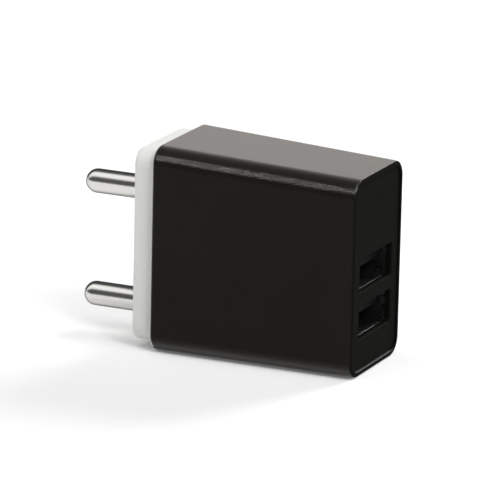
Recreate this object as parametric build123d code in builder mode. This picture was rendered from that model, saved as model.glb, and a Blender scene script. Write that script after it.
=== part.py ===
from build123d import *

import os

# USB wall charger with two round plug pins and two stacked USB-A sockets, in millimetres.
# Origin: centre of the plug base's outer face, midway between the two pins.
# +X runs from the wall towards the sockets, +Z is up, and the circuit board stands at +Y.

os.makedirs("parts", exist_ok=True)

# ---- Housing: a drafted sleeve with a flat underside ----
housing_length = 35.0
plug_end_width = 21.0
usb_end_width = 19.3
plug_end_height = 34.0
usb_end_height = 32.5
underside_z = -14.9
corner_radius = 3.0
end_edge_radius = 0.5
wall = 1.5
weld = 0.4

# ---- End panel with the socket openings ----
panel_rim = 0.9
panel_recess = 0.25
panel_thickness = 1.6
panel_clearance = 0.05
panel_edge_radius = 0.2
opening_width = 12.7
opening_height = 5.3
opening_corner_radius = 0.5
opening_bevel = 0.2
nose_clearance = 0.08

# ---- Plug base ----
base_depth = 3.7
base_side_inset = 1.05
base_top_inset = 0.95
base_bottom_inset = 1.25
base_corner_radius = 2.6
base_edge_radius = 0.6
base_floor = 2.0
spigot_depth = 4.0
spigot_wall = 1.2
spigot_clearance = 0.1
spigot_inner_radius = 0.4
boss_radius = 3.6
boss_end_x = 6.5
snap_length = 1.2
snap_height = 10.0
snap_rise = 0.4
snap_clearance = 0.1

# ---- Plug pins ----
pin_diameter = 4.0
pin_spacing = 19.0
pin_reach = 12.9
pin_seat_margin = 0.25
pin_seat_depth = 0.1
collar_radius = 2.7
collar_start_x = 2.8
collar_length = 2.0
knurl_count = 12
knurl_radius = 0.3
shank_radius = 1.8
tail_radius = 1.4
tail_length = 0.8

# ---- Pin contact springs ----
spring_width = 3.0
spring_thickness = 0.4
spring_foot_inset = 1.6
spring_free_y = -1.2
spring_lead_in = 0.8

# ---- Circuit board ----
board_thickness = 1.0
board_edge_gap = 0.5
board_end_gap = 0.1
socket_standoff = 0.1
guide_length = 2.0
guide_thickness = 0.8
guide_grip = 1.2
guide_clearance = 0.05
hole_clearance = 0.1
lead_radius = 0.3
lead_tip = 0.3
solder_height = 0.35
solder_clearance = 0.15
solder_margin = 0.4
flat_solder_margin = 0.1

# ---- Sockets ----
socket_width = 13.1
socket_height = 5.72
socket_wall = 0.3
socket_corner_radius = 0.6
socket_length = 11.0
socket_pitch = 7.7
upper_socket_z = 1.55
socket_setback = 1.0
tongue_width = 11.1
tongue_thickness = 1.84
tongue_gap = 0.66
tongue_setback = 1.0
tongue_bevel = 0.4
insulator_block = 1.5
contact_offsets = (3.5, 1.0, -1.0, -3.5)
contact_width = 0.6
contact_thickness = 0.25
contact_setback = 0.8
contact_tail_gap = 0.4
contact_tail_pitch = 0.85
finger_offset = 3.0
finger_width = 1.5
finger_window_width = 1.8
finger_length = 6.0
finger_setback = 1.0
finger_rise = 0.55
tab_length = 1.4
tab_places = (3.0, 8.0)

# ---- Parts on the board ----
bulk_radius = 4.0
bulk_height = 12.0
bulk_lead_spacing = 3.5
bulk_inset = 7.0
output_radius = 3.15
output_height = 11.0
output_lead_spacing = 2.5
sleeve_thickness = 0.15
can_wall = 0.3
seal_height = 1.3
bead_height = 2.5
bead_depth = 0.45
part_gap = 0.15
core_width = 13.0
core_length = 12.2
core_thickness = 6.0
core_back = 1.5
core_leg = 2.8
core_lift = 3.6
bobbin_wall = 0.7
bobbin_clearance = 0.15
winding_step = 1.3
tape_thickness = 0.2
lead_leaf = 0.15
dimple_radius = 0.2
primary_lane_width = 4.6
bridge_inset = 3.4
bridge_size = (4.5, 3.9, 2.3)
bridge_span = 6.0
rectifier_size = (2.6, 3.4, 2.1)
rectifier_span = 5.2
rectifier_shift = 0.4
small_chip_size = (2.9, 1.6, 1.1)
small_chip_span = 2.8
small_chip_pitch = 0.95
charge_shift = 2.0
switcher_shift = 0.3
lane_gap = 2.2
resistor_size = (2.0, 1.25, 0.5)
resistor_gap = 0.55
resistor_shift = 4.3
fuse_inset = 1.5
fuse_length = 6.4
fuse_radius = 1.15
fuse_waist = 0.95
fuse_cap = 1.4
fuse_bend = 0.6
fuse_lead_reach = 1.2
disc_radius = 2.7
disc_thickness = 3.0
disc_lift = 1.3
disc_spacing = 3.6
drum_radius = 1.8
drum_height = 5.0
drum_flange = 0.6
drum_neck = 0.8
drum_spacing = 2.4
transformer_inset = 2.5

# ---- Places worked out from the sizes above ----
housing_end_x = base_depth + housing_length
panel_seat_x = housing_end_x - panel_recess - panel_thickness
spigot_end_x = base_depth + spigot_depth
pin_heights = {"upper": pin_spacing / 2, "lower": -pin_spacing / 2}
pin_end_x = boss_end_x + tail_length
socket_front_x = housing_end_x - panel_recess - socket_setback
socket_back_x = socket_front_x - socket_length
socket_heights = {"upper": upper_socket_z, "lower": upper_socket_z - socket_pitch}
board_front = socket_width / 2 + socket_standoff
board_back = board_front + board_thickness
board_start_x = spigot_end_x + board_end_gap
board_end_x = panel_seat_x - board_end_gap


def housing_share(x):
    """How far x lies from the housing's plug end to its USB end, from 0 to 1."""
    return (x - base_depth) / housing_length


def housing_width(x):
    """Outer width of the housing at x."""
    return plug_end_width + (usb_end_width - plug_end_width) * housing_share(x)


def housing_height(x):
    """Outer height of the housing at x."""
    return plug_end_height + (usb_end_height - plug_end_height) * housing_share(x)


def housing_centre_z(x):
    """Height of the middle of the housing's section at x."""
    return underside_z + housing_height(x) / 2


def drafted_block(inset, end_x, radius):
    """The housing's drafted form from its plug end to end_x, set in on all four sides."""
    low_z = underside_z + inset
    start_half = housing_width(base_depth) / 2 - inset
    end_half = housing_width(end_x) / 2 - inset
    start_top_z = underside_z + housing_height(base_depth) - inset
    end_top_z = underside_z + housing_height(end_x) - inset
    with BuildPart() as block:
        with BuildSketch(Plane.XZ):
            with BuildLine():
                Polyline(
                    (base_depth, low_z),
                    (end_x, low_z),
                    (end_x, end_top_z),
                    (base_depth, start_top_z),
                    close=True,
                )
            make_face()
        extrude(amount=start_half, both=True)
        with BuildSketch(Plane.XY.offset(low_z)):
            with BuildLine():
                Polyline(
                    (base_depth, -start_half),
                    (end_x, -end_half),
                    (end_x, end_half),
                    (base_depth, start_half),
                    close=True,
                )
            make_face()
        extrude(amount=start_top_z - low_z, mode=Mode.INTERSECT)
        fillet(block.edges().filter_by(lambda edge: abs((edge % 0.5).X) > 0.9), radius)
    return block.part


def cross_plane(x, z=0):
    """Plane across the charger at x, with its own x along +Y and its own y along +Z."""
    return Plane(origin=(x, 0, z), x_dir=(0, 1, 0), z_dir=(1, 0, 0))


board_bottom = underside_z + wall + board_edge_gap
board_top = underside_z + housing_height(board_end_x) - wall - board_edge_gap
board_length = board_end_x - board_start_x
board_height = board_top - board_bottom
board_middle_x = (board_start_x + board_end_x) / 2
board_middle_y = (board_front + board_back) / 2
board_middle_z = (board_bottom + board_top) / 2


def board_plane(height, x=0, z=0):
    """Plane parallel to the board at a height above its component side, local y along +Z."""
    return Plane(origin=(x, board_front - height, z), x_dir=(1, 0, 0), z_dir=(0, -1, 0))


def standing_plane(x, z):
    """Plane through an upright component's axis: local y rises from the board."""
    return Plane(origin=(x, board_front, z), x_dir=(1, 0, 0), z_dir=(0, 0, -1))


def standing_axis(x, z):
    """Axis of an upright component, rising from the board."""
    return Axis((x, board_front, z), (0, -1, 0))


round_leads = []
flat_leads = []

# ---- Plug pins: nickel-plated brass with a domed tip, a knurled collar and a turned-down tail ----
pins = {}
for place, pin_z in pin_heights.items():
    pin_axis = Axis((0, 0, pin_z), (1, 0, 0))
    with BuildPart() as plug_pin:
        with BuildSketch(Plane.XZ.shift_origin((0, 0, pin_z))):
            with BuildLine():
                dome_x = pin_diameter / 2 - pin_reach
                collar_end_x = collar_start_x + collar_length
                CenterArc((dome_x, 0), pin_diameter / 2, 90, 90)
                Polyline(
                    (dome_x, pin_diameter / 2),
                    (pin_seat_depth, pin_diameter / 2),
                    (pin_seat_depth, shank_radius),
                    (collar_start_x, shank_radius),
                    (collar_start_x, collar_radius),
                    (collar_end_x, collar_radius),
                    (collar_end_x, shank_radius),
                    (boss_end_x, shank_radius),
                    (boss_end_x, tail_radius),
                    (pin_end_x, tail_radius),
                    (pin_end_x, 0),
                    (-pin_reach, 0),
                )
            make_face()
        revolve(axis=pin_axis)
        with BuildSketch(cross_plane(collar_start_x, pin_z)):
            with PolarLocations(collar_radius, knurl_count):
                Circle(knurl_radius)
        extrude(amount=collar_length, mode=Mode.SUBTRACT)
    plug_pin.part.label = f"{place}_plug_pin"
    export_step(plug_pin.part, f"parts/{place}_plug_pin.step")
    pins[place] = plug_pin.part

# ---- Plug base: white flange, hollow spigot, pin bosses and two snap ridges ----
base_width = plug_end_width - 2 * base_side_inset
base_height = plug_end_height - base_top_inset - base_bottom_inset
base_centre_z = underside_z + base_bottom_inset + base_height / 2
spigot_width = housing_width(spigot_end_x) - 2 * (wall + spigot_clearance)
spigot_height = housing_height(spigot_end_x) - 2 * (wall + spigot_clearance)
spigot_centre_z = housing_centre_z(spigot_end_x)
spigot_radius = corner_radius - wall
snap_x = base_depth + spigot_depth / 2

with BuildPart() as plug_base:
    with BuildSketch(cross_plane(0, base_centre_z)):
        RectangleRounded(base_width, base_height, base_corner_radius)
    extrude(amount=base_depth)
    fillet(plug_base.faces().sort_by(Axis.X)[0].edges(), base_edge_radius)
    with BuildSketch(cross_plane(base_depth, spigot_centre_z)):
        RectangleRounded(spigot_width, spigot_height, spigot_radius)
    extrude(amount=spigot_depth)
    with BuildSketch(cross_plane(base_floor, spigot_centre_z)):
        RectangleRounded(
            spigot_width - 2 * spigot_wall, spigot_height - 2 * spigot_wall, spigot_inner_radius
        )
    extrude(amount=spigot_end_x - base_floor, mode=Mode.SUBTRACT)
    for pin_z in pin_heights.values():
        with BuildSketch(cross_plane(base_floor, pin_z)):
            Circle(boss_radius)
        extrude(amount=boss_end_x - base_floor)
        with BuildSketch(cross_plane(0, pin_z)):
            Circle(pin_diameter / 2 + pin_seat_margin)
        extrude(amount=pin_seat_depth, mode=Mode.SUBTRACT)
    for side in (-1, 1):
        with BuildSketch(Plane.XY.offset(spigot_centre_z - snap_height / 2)):
            with BuildLine():
                Polyline(
                    (snap_x - snap_length / 2, side * (spigot_width / 2 - weld)),
                    (snap_x - snap_length / 2, side * (spigot_width / 2 + snap_rise)),
                    (snap_x, side * (spigot_width / 2 + snap_rise)),
                    (snap_x + snap_length / 2, side * spigot_width / 2),
                    (snap_x + snap_length / 2, side * (spigot_width / 2 - weld)),
                    close=True,
                )
            make_face()
        extrude(amount=snap_height)
    for pin in pins.values():
        add(pin, mode=Mode.SUBTRACT)
plug_base.part.label = "plug_base"
export_step(plug_base.part, "parts/plug_base.step")

# ---- Housing: drafted sleeve, open at both ends, with a seat for the panel and board guides ----
pocket_width = usb_end_width - 2 * panel_rim
pocket_height = usb_end_height - 2 * panel_rim
pocket_centre_z = housing_centre_z(housing_end_x)
pocket_radius = corner_radius - panel_rim
guide_places = (board_start_x, board_end_x - guide_length)
guide_depth = board_thickness + 2 * (guide_thickness + guide_clearance)

housing_form = drafted_block(0, housing_end_x, corner_radius)
cavity_form = drafted_block(wall, panel_seat_x, spigot_radius)

with BuildPart() as housing:
    add(housing_form)
    end_faces = housing.faces().sort_by(Axis.X)
    fillet(end_faces[0].edges() + end_faces[-1].edges(), end_edge_radius)
    add(cavity_form, mode=Mode.SUBTRACT)
    with BuildSketch(cross_plane(panel_seat_x, pocket_centre_z)):
        RectangleRounded(pocket_width, pocket_height, pocket_radius)
    extrude(amount=panel_recess + panel_thickness, mode=Mode.SUBTRACT)
    groove_rise = snap_rise + snap_clearance
    for side in (-1, 1):
        with Locations((snap_x, side * (housing_width(snap_x) / 2 - wall), spigot_centre_z)):
            Box(
                snap_length + 2 * snap_clearance,
                2 * groove_rise,
                snap_height + 2 * snap_clearance,
                mode=Mode.SUBTRACT,
            )
    for x in guide_places:
        middle_x = x + guide_length / 2
        ceiling_z = underside_z + housing_height(middle_x) - wall
        low_block = (underside_z + wall - weld, board_bottom + guide_grip)
        high_block = (board_top - guide_grip, ceiling_z + weld)
        for block_low, block_high in (low_block, high_block):
            with Locations((middle_x, board_middle_y, (block_low + block_high) / 2)):
                Box(guide_length, guide_depth, block_high - block_low)
    with Locations((board_middle_x, board_middle_y, board_middle_z)):
        Box(
            board_length,
            board_thickness + 2 * guide_clearance,
            board_height + 2 * guide_clearance,
            mode=Mode.SUBTRACT,
        )
    relief_depth = solder_height + solder_clearance
    with Locations((board_middle_x, board_back + relief_depth / 2, board_middle_z)):
        Box(board_length, relief_depth, board_height - 2 * guide_grip, mode=Mode.SUBTRACT)
housing.part.label = "housing"
export_step(housing.part, "parts/housing.step")

# ---- End panel: two openings, each with a counterbore behind it for the socket's nose ----
with BuildPart() as usb_face_panel:
    with BuildSketch(cross_plane(panel_seat_x, pocket_centre_z)):
        RectangleRounded(
            pocket_width - 2 * panel_clearance,
            pocket_height - 2 * panel_clearance,
            pocket_radius - panel_clearance,
        )
    extrude(amount=panel_thickness)
    fillet(usb_face_panel.faces().sort_by(Axis.X)[-1].edges(), panel_edge_radius)
    with BuildSketch(cross_plane(panel_seat_x)):
        for z in socket_heights.values():
            with Locations((0, z)):
                RectangleRounded(opening_width, opening_height, opening_corner_radius)
    extrude(amount=panel_thickness, mode=Mode.SUBTRACT)
    front_face = usb_face_panel.faces().filter_by(Plane.YZ).sort_by(Axis.X)[-1]
    chamfer([edge for wire in front_face.inner_wires() for edge in wire.edges()], opening_bevel)
    nose_length = socket_front_x - panel_seat_x
    with BuildSketch(cross_plane(panel_seat_x)):
        for z in socket_heights.values():
            with Locations((0, z)):
                RectangleRounded(
                    socket_width + 2 * nose_clearance,
                    socket_height + 2 * nose_clearance,
                    socket_corner_radius + nose_clearance,
                )
    extrude(amount=nose_length, mode=Mode.SUBTRACT)
usb_face_panel.part.label = "usb_face_panel"
export_step(usb_face_panel.part, "parts/usb_face_panel.step")

# ---- Pin contact springs: bent strips that press on the pins' tails ----
spring_foot_x = board_start_x + spring_foot_inset
spring_touch_x = pin_end_x + spring_thickness / 2
for place, pin_z in pin_heights.items():
    with BuildPart() as contact_spring:
        with BuildSketch(Plane.XY.offset(pin_z)):
            with BuildLine():
                Polyline(
                    (spring_foot_x, board_back + lead_tip),
                    (spring_foot_x, -spring_free_y + spring_lead_in),
                    (spring_touch_x, -spring_free_y),
                    (spring_touch_x, spring_free_y),
                    (spring_touch_x + spring_lead_in, spring_free_y - spring_lead_in),
                )
            trace(line_width=spring_thickness)
        extrude(amount=spring_width / 2, both=True)
    contact_spring.part.label = f"{place}_pin_contact"
    export_step(contact_spring.part, f"parts/{place}_pin_contact.step")
    flat_leads.append((spring_foot_x, pin_z, spring_thickness, spring_width))

# ---- USB-A sockets: shell, insulator with its tongue, and four contacts each ----
shell_inner_width = socket_width - 2 * socket_wall
shell_inner_height = socket_height - 2 * socket_wall
for place, socket_z in socket_heights.items():
    tongue_bottom = socket_z + shell_inner_height / 2 - tongue_gap - tongue_thickness
    tongue_front_x = socket_front_x - tongue_setback
    floor_z = socket_z - shell_inner_height / 2 - socket_wall / 2
    window_front_x = socket_front_x - finger_setback

    with BuildPart() as socket_contacts:
        for index, contact_y in enumerate(contact_offsets):
            tail_x = socket_back_x - contact_tail_gap - index * contact_tail_pitch
            with BuildSketch(Plane.XY.offset(tongue_bottom - contact_thickness)):
                with BuildLine():
                    Polyline(
                        (tongue_front_x - contact_setback, contact_y),
                        (tail_x, contact_y),
                        (tail_x, board_back + lead_tip),
                    )
                trace(line_width=contact_width)
            extrude(amount=contact_thickness)
            flat_leads.append(
                (tail_x, tongue_bottom - contact_thickness / 2, contact_width, contact_thickness)
            )
    socket_contacts.part.label = f"{place}_socket_contacts"
    export_step(socket_contacts.part, f"parts/{place}_socket_contacts.step")

    with BuildPart() as socket_insulator:
        with BuildSketch(cross_plane(socket_back_x, socket_z)):
            RectangleRounded(
                shell_inner_width, shell_inner_height, socket_corner_radius - socket_wall
            )
        extrude(amount=insulator_block)
        tongue_z = tongue_bottom + tongue_thickness / 2
        with BuildSketch(cross_plane(socket_back_x, tongue_z)):
            Rectangle(tongue_width, tongue_thickness)
        extrude(amount=tongue_front_x - socket_back_x)
        tongue_face = socket_insulator.faces().filter_by(Plane.YZ).sort_by(Axis.X)[-1]
        chamfer(tongue_face.edges(), tongue_bevel)
        add(socket_contacts.part, mode=Mode.SUBTRACT)
    socket_insulator.part.label = f"{place}_socket_insulator"
    export_step(socket_insulator.part, f"parts/{place}_socket_insulator.step")

    with BuildPart() as socket_shell:
        with BuildSketch(cross_plane(socket_back_x, socket_z)):
            RectangleRounded(socket_width, socket_height, socket_corner_radius)
            RectangleRounded(
                shell_inner_width,
                shell_inner_height,
                socket_corner_radius - socket_wall,
                mode=Mode.SUBTRACT,
            )
        extrude(amount=socket_length)
        for side in (-1, 1):
            with Locations((window_front_x - finger_length / 2, side * finger_offset, floor_z)):
                Box(finger_length, finger_window_width, 2 * socket_wall, mode=Mode.SUBTRACT)
            with BuildSketch(Plane.XZ.offset(-side * finger_offset)):
                with BuildLine():
                    Polyline(
                        (window_front_x + socket_wall, floor_z),
                        (window_front_x - socket_wall, floor_z),
                        (window_front_x - finger_length / 2, floor_z + finger_rise),
                        (window_front_x - finger_length + weld, floor_z + finger_rise / 2),
                    )
                trace(line_width=contact_thickness)
            extrude(amount=finger_width / 2, both=True)
        for tab_place in tab_places:
            tab_x = socket_front_x - tab_place
            tab_start = socket_width / 2 - socket_corner_radius
            tab_end = board_back + lead_tip
            for side in (-1, 1):
                tab_z = socket_z + side * (shell_inner_height + socket_wall) / 2
                with Locations((tab_x, (tab_start + tab_end) / 2, tab_z)):
                    Box(tab_length, tab_end - tab_start, socket_wall)
                flat_leads.append((tab_x, tab_z, tab_length, socket_wall))
    socket_shell.part.label = f"{place}_socket_shell"
    export_step(socket_shell.part, f"parts/{place}_socket_shell.step")


def capacitor(name, x, z, radius, height, lead_spacing):
    """One upright electrolytic capacitor: can, sleeve, seal, wound element and leads."""
    can_radius = radius - sleeve_thickness
    bore_radius = can_radius - can_wall
    can_top = height - sleeve_thickness
    axis = standing_axis(x, z)
    with BuildPart() as can:
        with BuildSketch(standing_plane(x, z)):
            with BuildLine():
                Polyline(
                    (can_radius, 0),
                    (can_radius, seal_height),
                    (can_radius - bead_depth, (seal_height + bead_height) / 2),
                    (can_radius, bead_height),
                    (can_radius, can_top),
                    (0, can_top),
                    (0, can_top - can_wall),
                    (bore_radius, can_top - can_wall),
                    (bore_radius, bead_height),
                    (bore_radius - bead_depth, (seal_height + bead_height) / 2),
                    (bore_radius, seal_height),
                    (bore_radius, 0),
                    close=True,
                )
            make_face()
        revolve(axis=axis)
        with BuildSketch(board_plane(can_top, x, z)):
            Rectangle(can_radius, can_wall)
            Rectangle(can_wall, can_radius)
        extrude(amount=-can_wall / 2, mode=Mode.SUBTRACT)
    can.part.label = f"{name}_can"
    export_step(can.part, f"parts/{name}_can.step")

    with BuildPart() as sleeve:
        with BuildSketch(standing_plane(x, z)):
            with BuildLine():
                Polyline(
                    (can_radius, sleeve_thickness),
                    (radius, sleeve_thickness),
                    (radius, height),
                    (radius - 2 * can_wall, height),
                    (radius - 2 * can_wall, can_top),
                    (can_radius, can_top),
                    close=True,
                )
            make_face()
        revolve(axis=axis)
    sleeve.part.label = f"{name}_sleeve"
    export_step(sleeve.part, f"parts/{name}_sleeve.step")

    with BuildPart() as leads:
        with BuildSketch(board_plane(bead_height, x, z)):
            with GridLocations(lead_spacing, 0, 2, 1):
                Circle(lead_radius)
        extrude(amount=-(bead_height + board_thickness + lead_tip))
    leads.part.label = f"{name}_leads"
    export_step(leads.part, f"parts/{name}_leads.step")
    for side in (-1, 1):
        round_leads.append((x + side * lead_spacing / 2, z))

    with BuildPart() as seal:
        with BuildSketch(board_plane(0, x, z)):
            Circle(bore_radius)
            with GridLocations(lead_spacing, 0, 2, 1):
                Circle(lead_radius, mode=Mode.SUBTRACT)
        extrude(amount=seal_height)
    seal.part.label = f"{name}_seal"
    export_step(seal.part, f"parts/{name}_seal.step")

    with BuildPart() as element:
        with BuildSketch(board_plane(bead_height, x, z)):
            Circle(bore_radius - guide_clearance)
        extrude(amount=can_top - can_wall - bead_height)
    element.part.label = f"{name}_element"
    export_step(element.part, f"parts/{name}_element.step")


# ---- Capacitors: two for the mains side at the plug end, two for the output above the sockets ----
bulk_x = board_start_x + bulk_inset
lower_bulk_z = board_bottom + bulk_radius
upper_bulk_z = lower_bulk_z + 2 * bulk_radius + part_gap
for place, z in {"lower": lower_bulk_z, "upper": upper_bulk_z}.items():
    name = f"{place}_bulk_capacitor"
    capacitor(name, bulk_x, z, bulk_radius, bulk_height, bulk_lead_spacing)

socket_roof_z = upper_socket_z + socket_height / 2
output_z = socket_roof_z + 3 * part_gap + output_radius
front_output_x = board_end_x - output_radius
rear_output_x = front_output_x - 2 * output_radius - part_gap
for place, x in {"front": front_output_x, "rear": rear_output_x}.items():
    name = f"{place}_output_capacitor"
    capacitor(name, x, output_z, output_radius, output_height, output_lead_spacing)


def chip(name, plane, size, row, span, lead_size):
    """One moulded package on the board, with a row of bent leads along each long side."""
    length, width, height = size
    count, pitch = row
    lead_width, foot = lead_size
    leaf = lead_leaf
    with BuildPart() as body:
        with BuildSketch(plane.offset(leaf)):
            Rectangle(length, width)
        extrude(amount=height)
        chamfer(body.faces().sort_by(Axis.Y)[0].edges(), leaf)
        with Locations(plane.offset(leaf + height)):
            with Locations((length / 2 - foot, width / 2 - foot, 0)):
                Hole(radius=dimple_radius, depth=leaf / 2)
    body.part.label = f"{name}_body"
    export_step(body.part, f"parts/{name}_body.step")

    shoulder = height / 2
    riser = span / 2 - foot
    with BuildPart() as leads:
        with Locations(plane):
            for side in (-1, 1):
                for index in range(count):
                    along = (index - (count - 1) / 2) * pitch
                    with Locations((along, side * (span - foot) / 2, leaf / 2)):
                        Box(lead_width, foot, leaf)
                    with Locations((along, side * (riser + leaf / 2), shoulder / 2)):
                        Box(lead_width, leaf, shoulder)
                    reach = riser + leaf - width / 2
                    with Locations((along, side * (width + reach) / 2, shoulder - leaf / 2)):
                        Box(lead_width, reach, leaf)
    leads.part.label = f"{name}_leads"
    export_step(leads.part, f"parts/{name}_leads.step")


# ---- Flat parts beside the capacitors, under the lower socket and over the output capacitors ----
primary_lane_x = bulk_x + bulk_radius + part_gap + primary_lane_width / 2
bridge_z = board_bottom + bridge_inset
bridge_plane = board_plane(0, primary_lane_x, bridge_z)
chip("bridge_rectifier", bridge_plane, bridge_size, (2, 2.5), bridge_span, (0.6, 0.7))

lower_lane_z = (board_bottom + socket_heights["lower"] - socket_height / 2) / 2
switcher_x = socket_back_x - switcher_shift
switcher_plane = board_plane(0, switcher_x, lower_lane_z)
small_row = (3, small_chip_pitch)
small_lead = (0.4, 0.4)
chip("switching_controller", switcher_plane, small_chip_size, small_row, small_chip_span, small_lead)

upper_lane_z = output_z + output_radius + lane_gap
charge_plane = board_plane(0, front_output_x - charge_shift, upper_lane_z)
chip("charge_controller", charge_plane, small_chip_size, small_row, small_chip_span, small_lead)
rectifier_origin = (rear_output_x - rectifier_shift, board_front, upper_lane_z)
rectifier_plane = Plane(origin=rectifier_origin, x_dir=(0, 0, 1), z_dir=(0, -1, 0))
chip("output_rectifier", rectifier_plane, rectifier_size, (1, 0), rectifier_span, (1.5, 0.8))

resistor_length, resistor_width, resistor_height = resistor_size
with BuildPart() as chip_resistors:
    with BuildSketch(board_plane(0, switcher_x + resistor_shift, lower_lane_z)):
        with GridLocations(resistor_length + resistor_gap, resistor_width + resistor_gap, 2, 2):
            Rectangle(resistor_length, resistor_width)
    extrude(amount=resistor_height)
chip_resistors.part.label = "chip_resistors"
export_step(chip_resistors.part, "parts/chip_resistors.step")

# ---- Fusible resistor: an axial body between the pin contacts, its leads bent to the board ----
fuse_x = board_start_x + fuse_inset
fuse_y = board_front - fuse_radius - part_gap
with BuildPart() as fuse_resistor:
    with BuildSketch(Plane.XZ.offset(-fuse_y)):
        with BuildLine():
            Polyline(
                (fuse_x, -fuse_length / 2),
                (fuse_x + fuse_radius, -fuse_length / 2),
                (fuse_x + fuse_radius, -fuse_length / 2 + fuse_cap),
                (fuse_x + fuse_waist, -fuse_length / 2 + fuse_cap + part_gap),
                (fuse_x + fuse_waist, fuse_length / 2 - fuse_cap - part_gap),
                (fuse_x + fuse_radius, fuse_length / 2 - fuse_cap),
                (fuse_x + fuse_radius, fuse_length / 2),
                (fuse_x, fuse_length / 2),
                close=True,
            )
        make_face()
    revolve(axis=Axis((fuse_x, fuse_y, 0), (0, 0, 1)))
    rings = fuse_resistor.edges().group_by(Axis.Z)
    fillet(rings[0] + rings[-1], fuse_bend / 2)
fuse_resistor.part.label = "fuse_resistor_body"
export_step(fuse_resistor.part, "parts/fuse_resistor_body.step")

with BuildPart() as fuse_leads:
    for side in (-1, 1):
        bend_z = side * (fuse_length / 2 + fuse_lead_reach)
        with BuildLine():
            lead_route = FilletPolyline(
                (fuse_x, fuse_y, side * fuse_length / 2),
                (fuse_x, fuse_y, bend_z),
                (fuse_x, board_back + lead_tip, bend_z),
                radius=fuse_bend,
            )
        with BuildSketch(Plane(origin=lead_route @ 0, z_dir=lead_route % 0)):
            Circle(lead_radius)
        sweep()
        round_leads.append((fuse_x, bend_z))
fuse_leads.part.label = "fuse_resistor_leads"
export_step(fuse_leads.part, "parts/fuse_resistor_leads.step")

# ---- Safety capacitor: a coated disc standing on edge ----
disc_z = bridge_z + bridge_span / 2 + part_gap + disc_radius
disc_y = board_front - disc_lift - disc_radius
with BuildPart() as safety_leads:
    with BuildSketch(board_plane(disc_lift + disc_radius, primary_lane_x, disc_z)):
        with GridLocations(0, disc_spacing, 1, 2):
            Circle(lead_radius)
    extrude(amount=-(disc_lift + disc_radius + board_thickness + lead_tip))
safety_leads.part.label = "safety_capacitor_leads"
export_step(safety_leads.part, "parts/safety_capacitor_leads.step")
for side in (-1, 1):
    round_leads.append((primary_lane_x, disc_z + side * disc_spacing / 2))

with BuildPart() as safety_capacitor:
    with Locations(Plane(origin=(primary_lane_x, disc_y, disc_z), z_dir=(1, 0, 0))):
        Cylinder(disc_radius, disc_thickness)
    fillet(safety_capacitor.edges().filter_by(GeomType.CIRCLE), disc_thickness / 3)
    add(safety_leads.part, mode=Mode.SUBTRACT)
safety_capacitor.part.label = "safety_capacitor_disc"
export_step(safety_capacitor.part, "parts/safety_capacitor_disc.step")

# ---- Filter inductor: an upright drum core with its winding ----
drum_z = disc_z + disc_radius + part_gap + drum_radius
drum_axis = standing_axis(primary_lane_x, drum_z)
with BuildPart() as inductor_leads:
    with BuildSketch(board_plane(drum_flange / 2, primary_lane_x, drum_z)):
        with GridLocations(0, drum_spacing, 1, 2):
            Circle(lead_radius)
    extrude(amount=-(drum_flange / 2 + board_thickness + lead_tip))
inductor_leads.part.label = "filter_inductor_leads"
export_step(inductor_leads.part, "parts/filter_inductor_leads.step")
for side in (-1, 1):
    round_leads.append((primary_lane_x, drum_z + side * drum_spacing / 2))

with BuildPart() as inductor_core:
    with BuildSketch(standing_plane(primary_lane_x, drum_z)):
        with BuildLine():
            Polyline(
                (0, 0),
                (drum_radius, 0),
                (drum_radius, drum_flange),
                (drum_neck, drum_flange),
                (drum_neck, drum_height - drum_flange),
                (drum_radius, drum_height - drum_flange),
                (drum_radius, drum_height),
                (0, drum_height),
                close=True,
            )
        make_face()
    revolve(axis=drum_axis)
    add(inductor_leads.part, mode=Mode.SUBTRACT)
inductor_core.part.label = "filter_inductor_core"
export_step(inductor_core.part, "parts/filter_inductor_core.step")

with BuildPart() as inductor_winding:
    with BuildSketch(board_plane(drum_flange, primary_lane_x, drum_z)):
        Circle(drum_radius - part_gap)
        Circle(drum_neck, mode=Mode.SUBTRACT)
    extrude(amount=drum_height - 2 * drum_flange)
inductor_winding.part.label = "filter_inductor_winding"
export_step(inductor_winding.part, "parts/filter_inductor_winding.step")

# ---- Transformer: two E cores face to face, a bobbin with pin rails, windings and tape ----
transformer_x = board_start_x + transformer_inset + core_width / 2
transformer_z = upper_bulk_z + bulk_radius + part_gap + (tape_thickness + core_length) / 2
core_middle = core_lift + core_thickness / 2
window_depth = core_length / 2 - core_back
for place, side in {"upper": 1, "lower": -1}.items():
    with BuildPart() as core_half:
        with BuildSketch(board_plane(core_lift, transformer_x, transformer_z)):
            with Locations((0, side * core_length / 4)):
                Rectangle(core_width, core_length / 2)
            for half in (-1, 1):
                slot_width = core_width / 2 - core_back - core_leg / 2
                with Locations((half * (core_leg + slot_width) / 2, side * window_depth / 2)):
                    Rectangle(slot_width, window_depth, mode=Mode.SUBTRACT)
        extrude(amount=core_thickness)
    core_half.part.label = f"transformer_{place}_core"
    export_step(core_half.part, f"parts/transformer_{place}_core.step")

bore_x = core_leg + 2 * bobbin_clearance
bore_y = core_thickness + 2 * bobbin_clearance
tube_x = bore_x + 2 * bobbin_wall
tube_y = bore_y + 2 * bobbin_wall
flange_x = core_width - 2 * core_back - 2 * bobbin_clearance
flange_y = 2 * core_middle
bobbin_length = 2 * (window_depth - bobbin_clearance)
rail_height = core_lift - bobbin_clearance
rail_length = core_back + bobbin_clearance
winding_length = bobbin_length - 2 * bobbin_wall


def winding_plane(z):
    """Plane across the transformer's winding axis at a height z, local x along X."""
    origin = (transformer_x, board_front - core_middle, z)
    return Plane(origin=origin, x_dir=(1, 0, 0), z_dir=(0, 0, 1))


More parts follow.
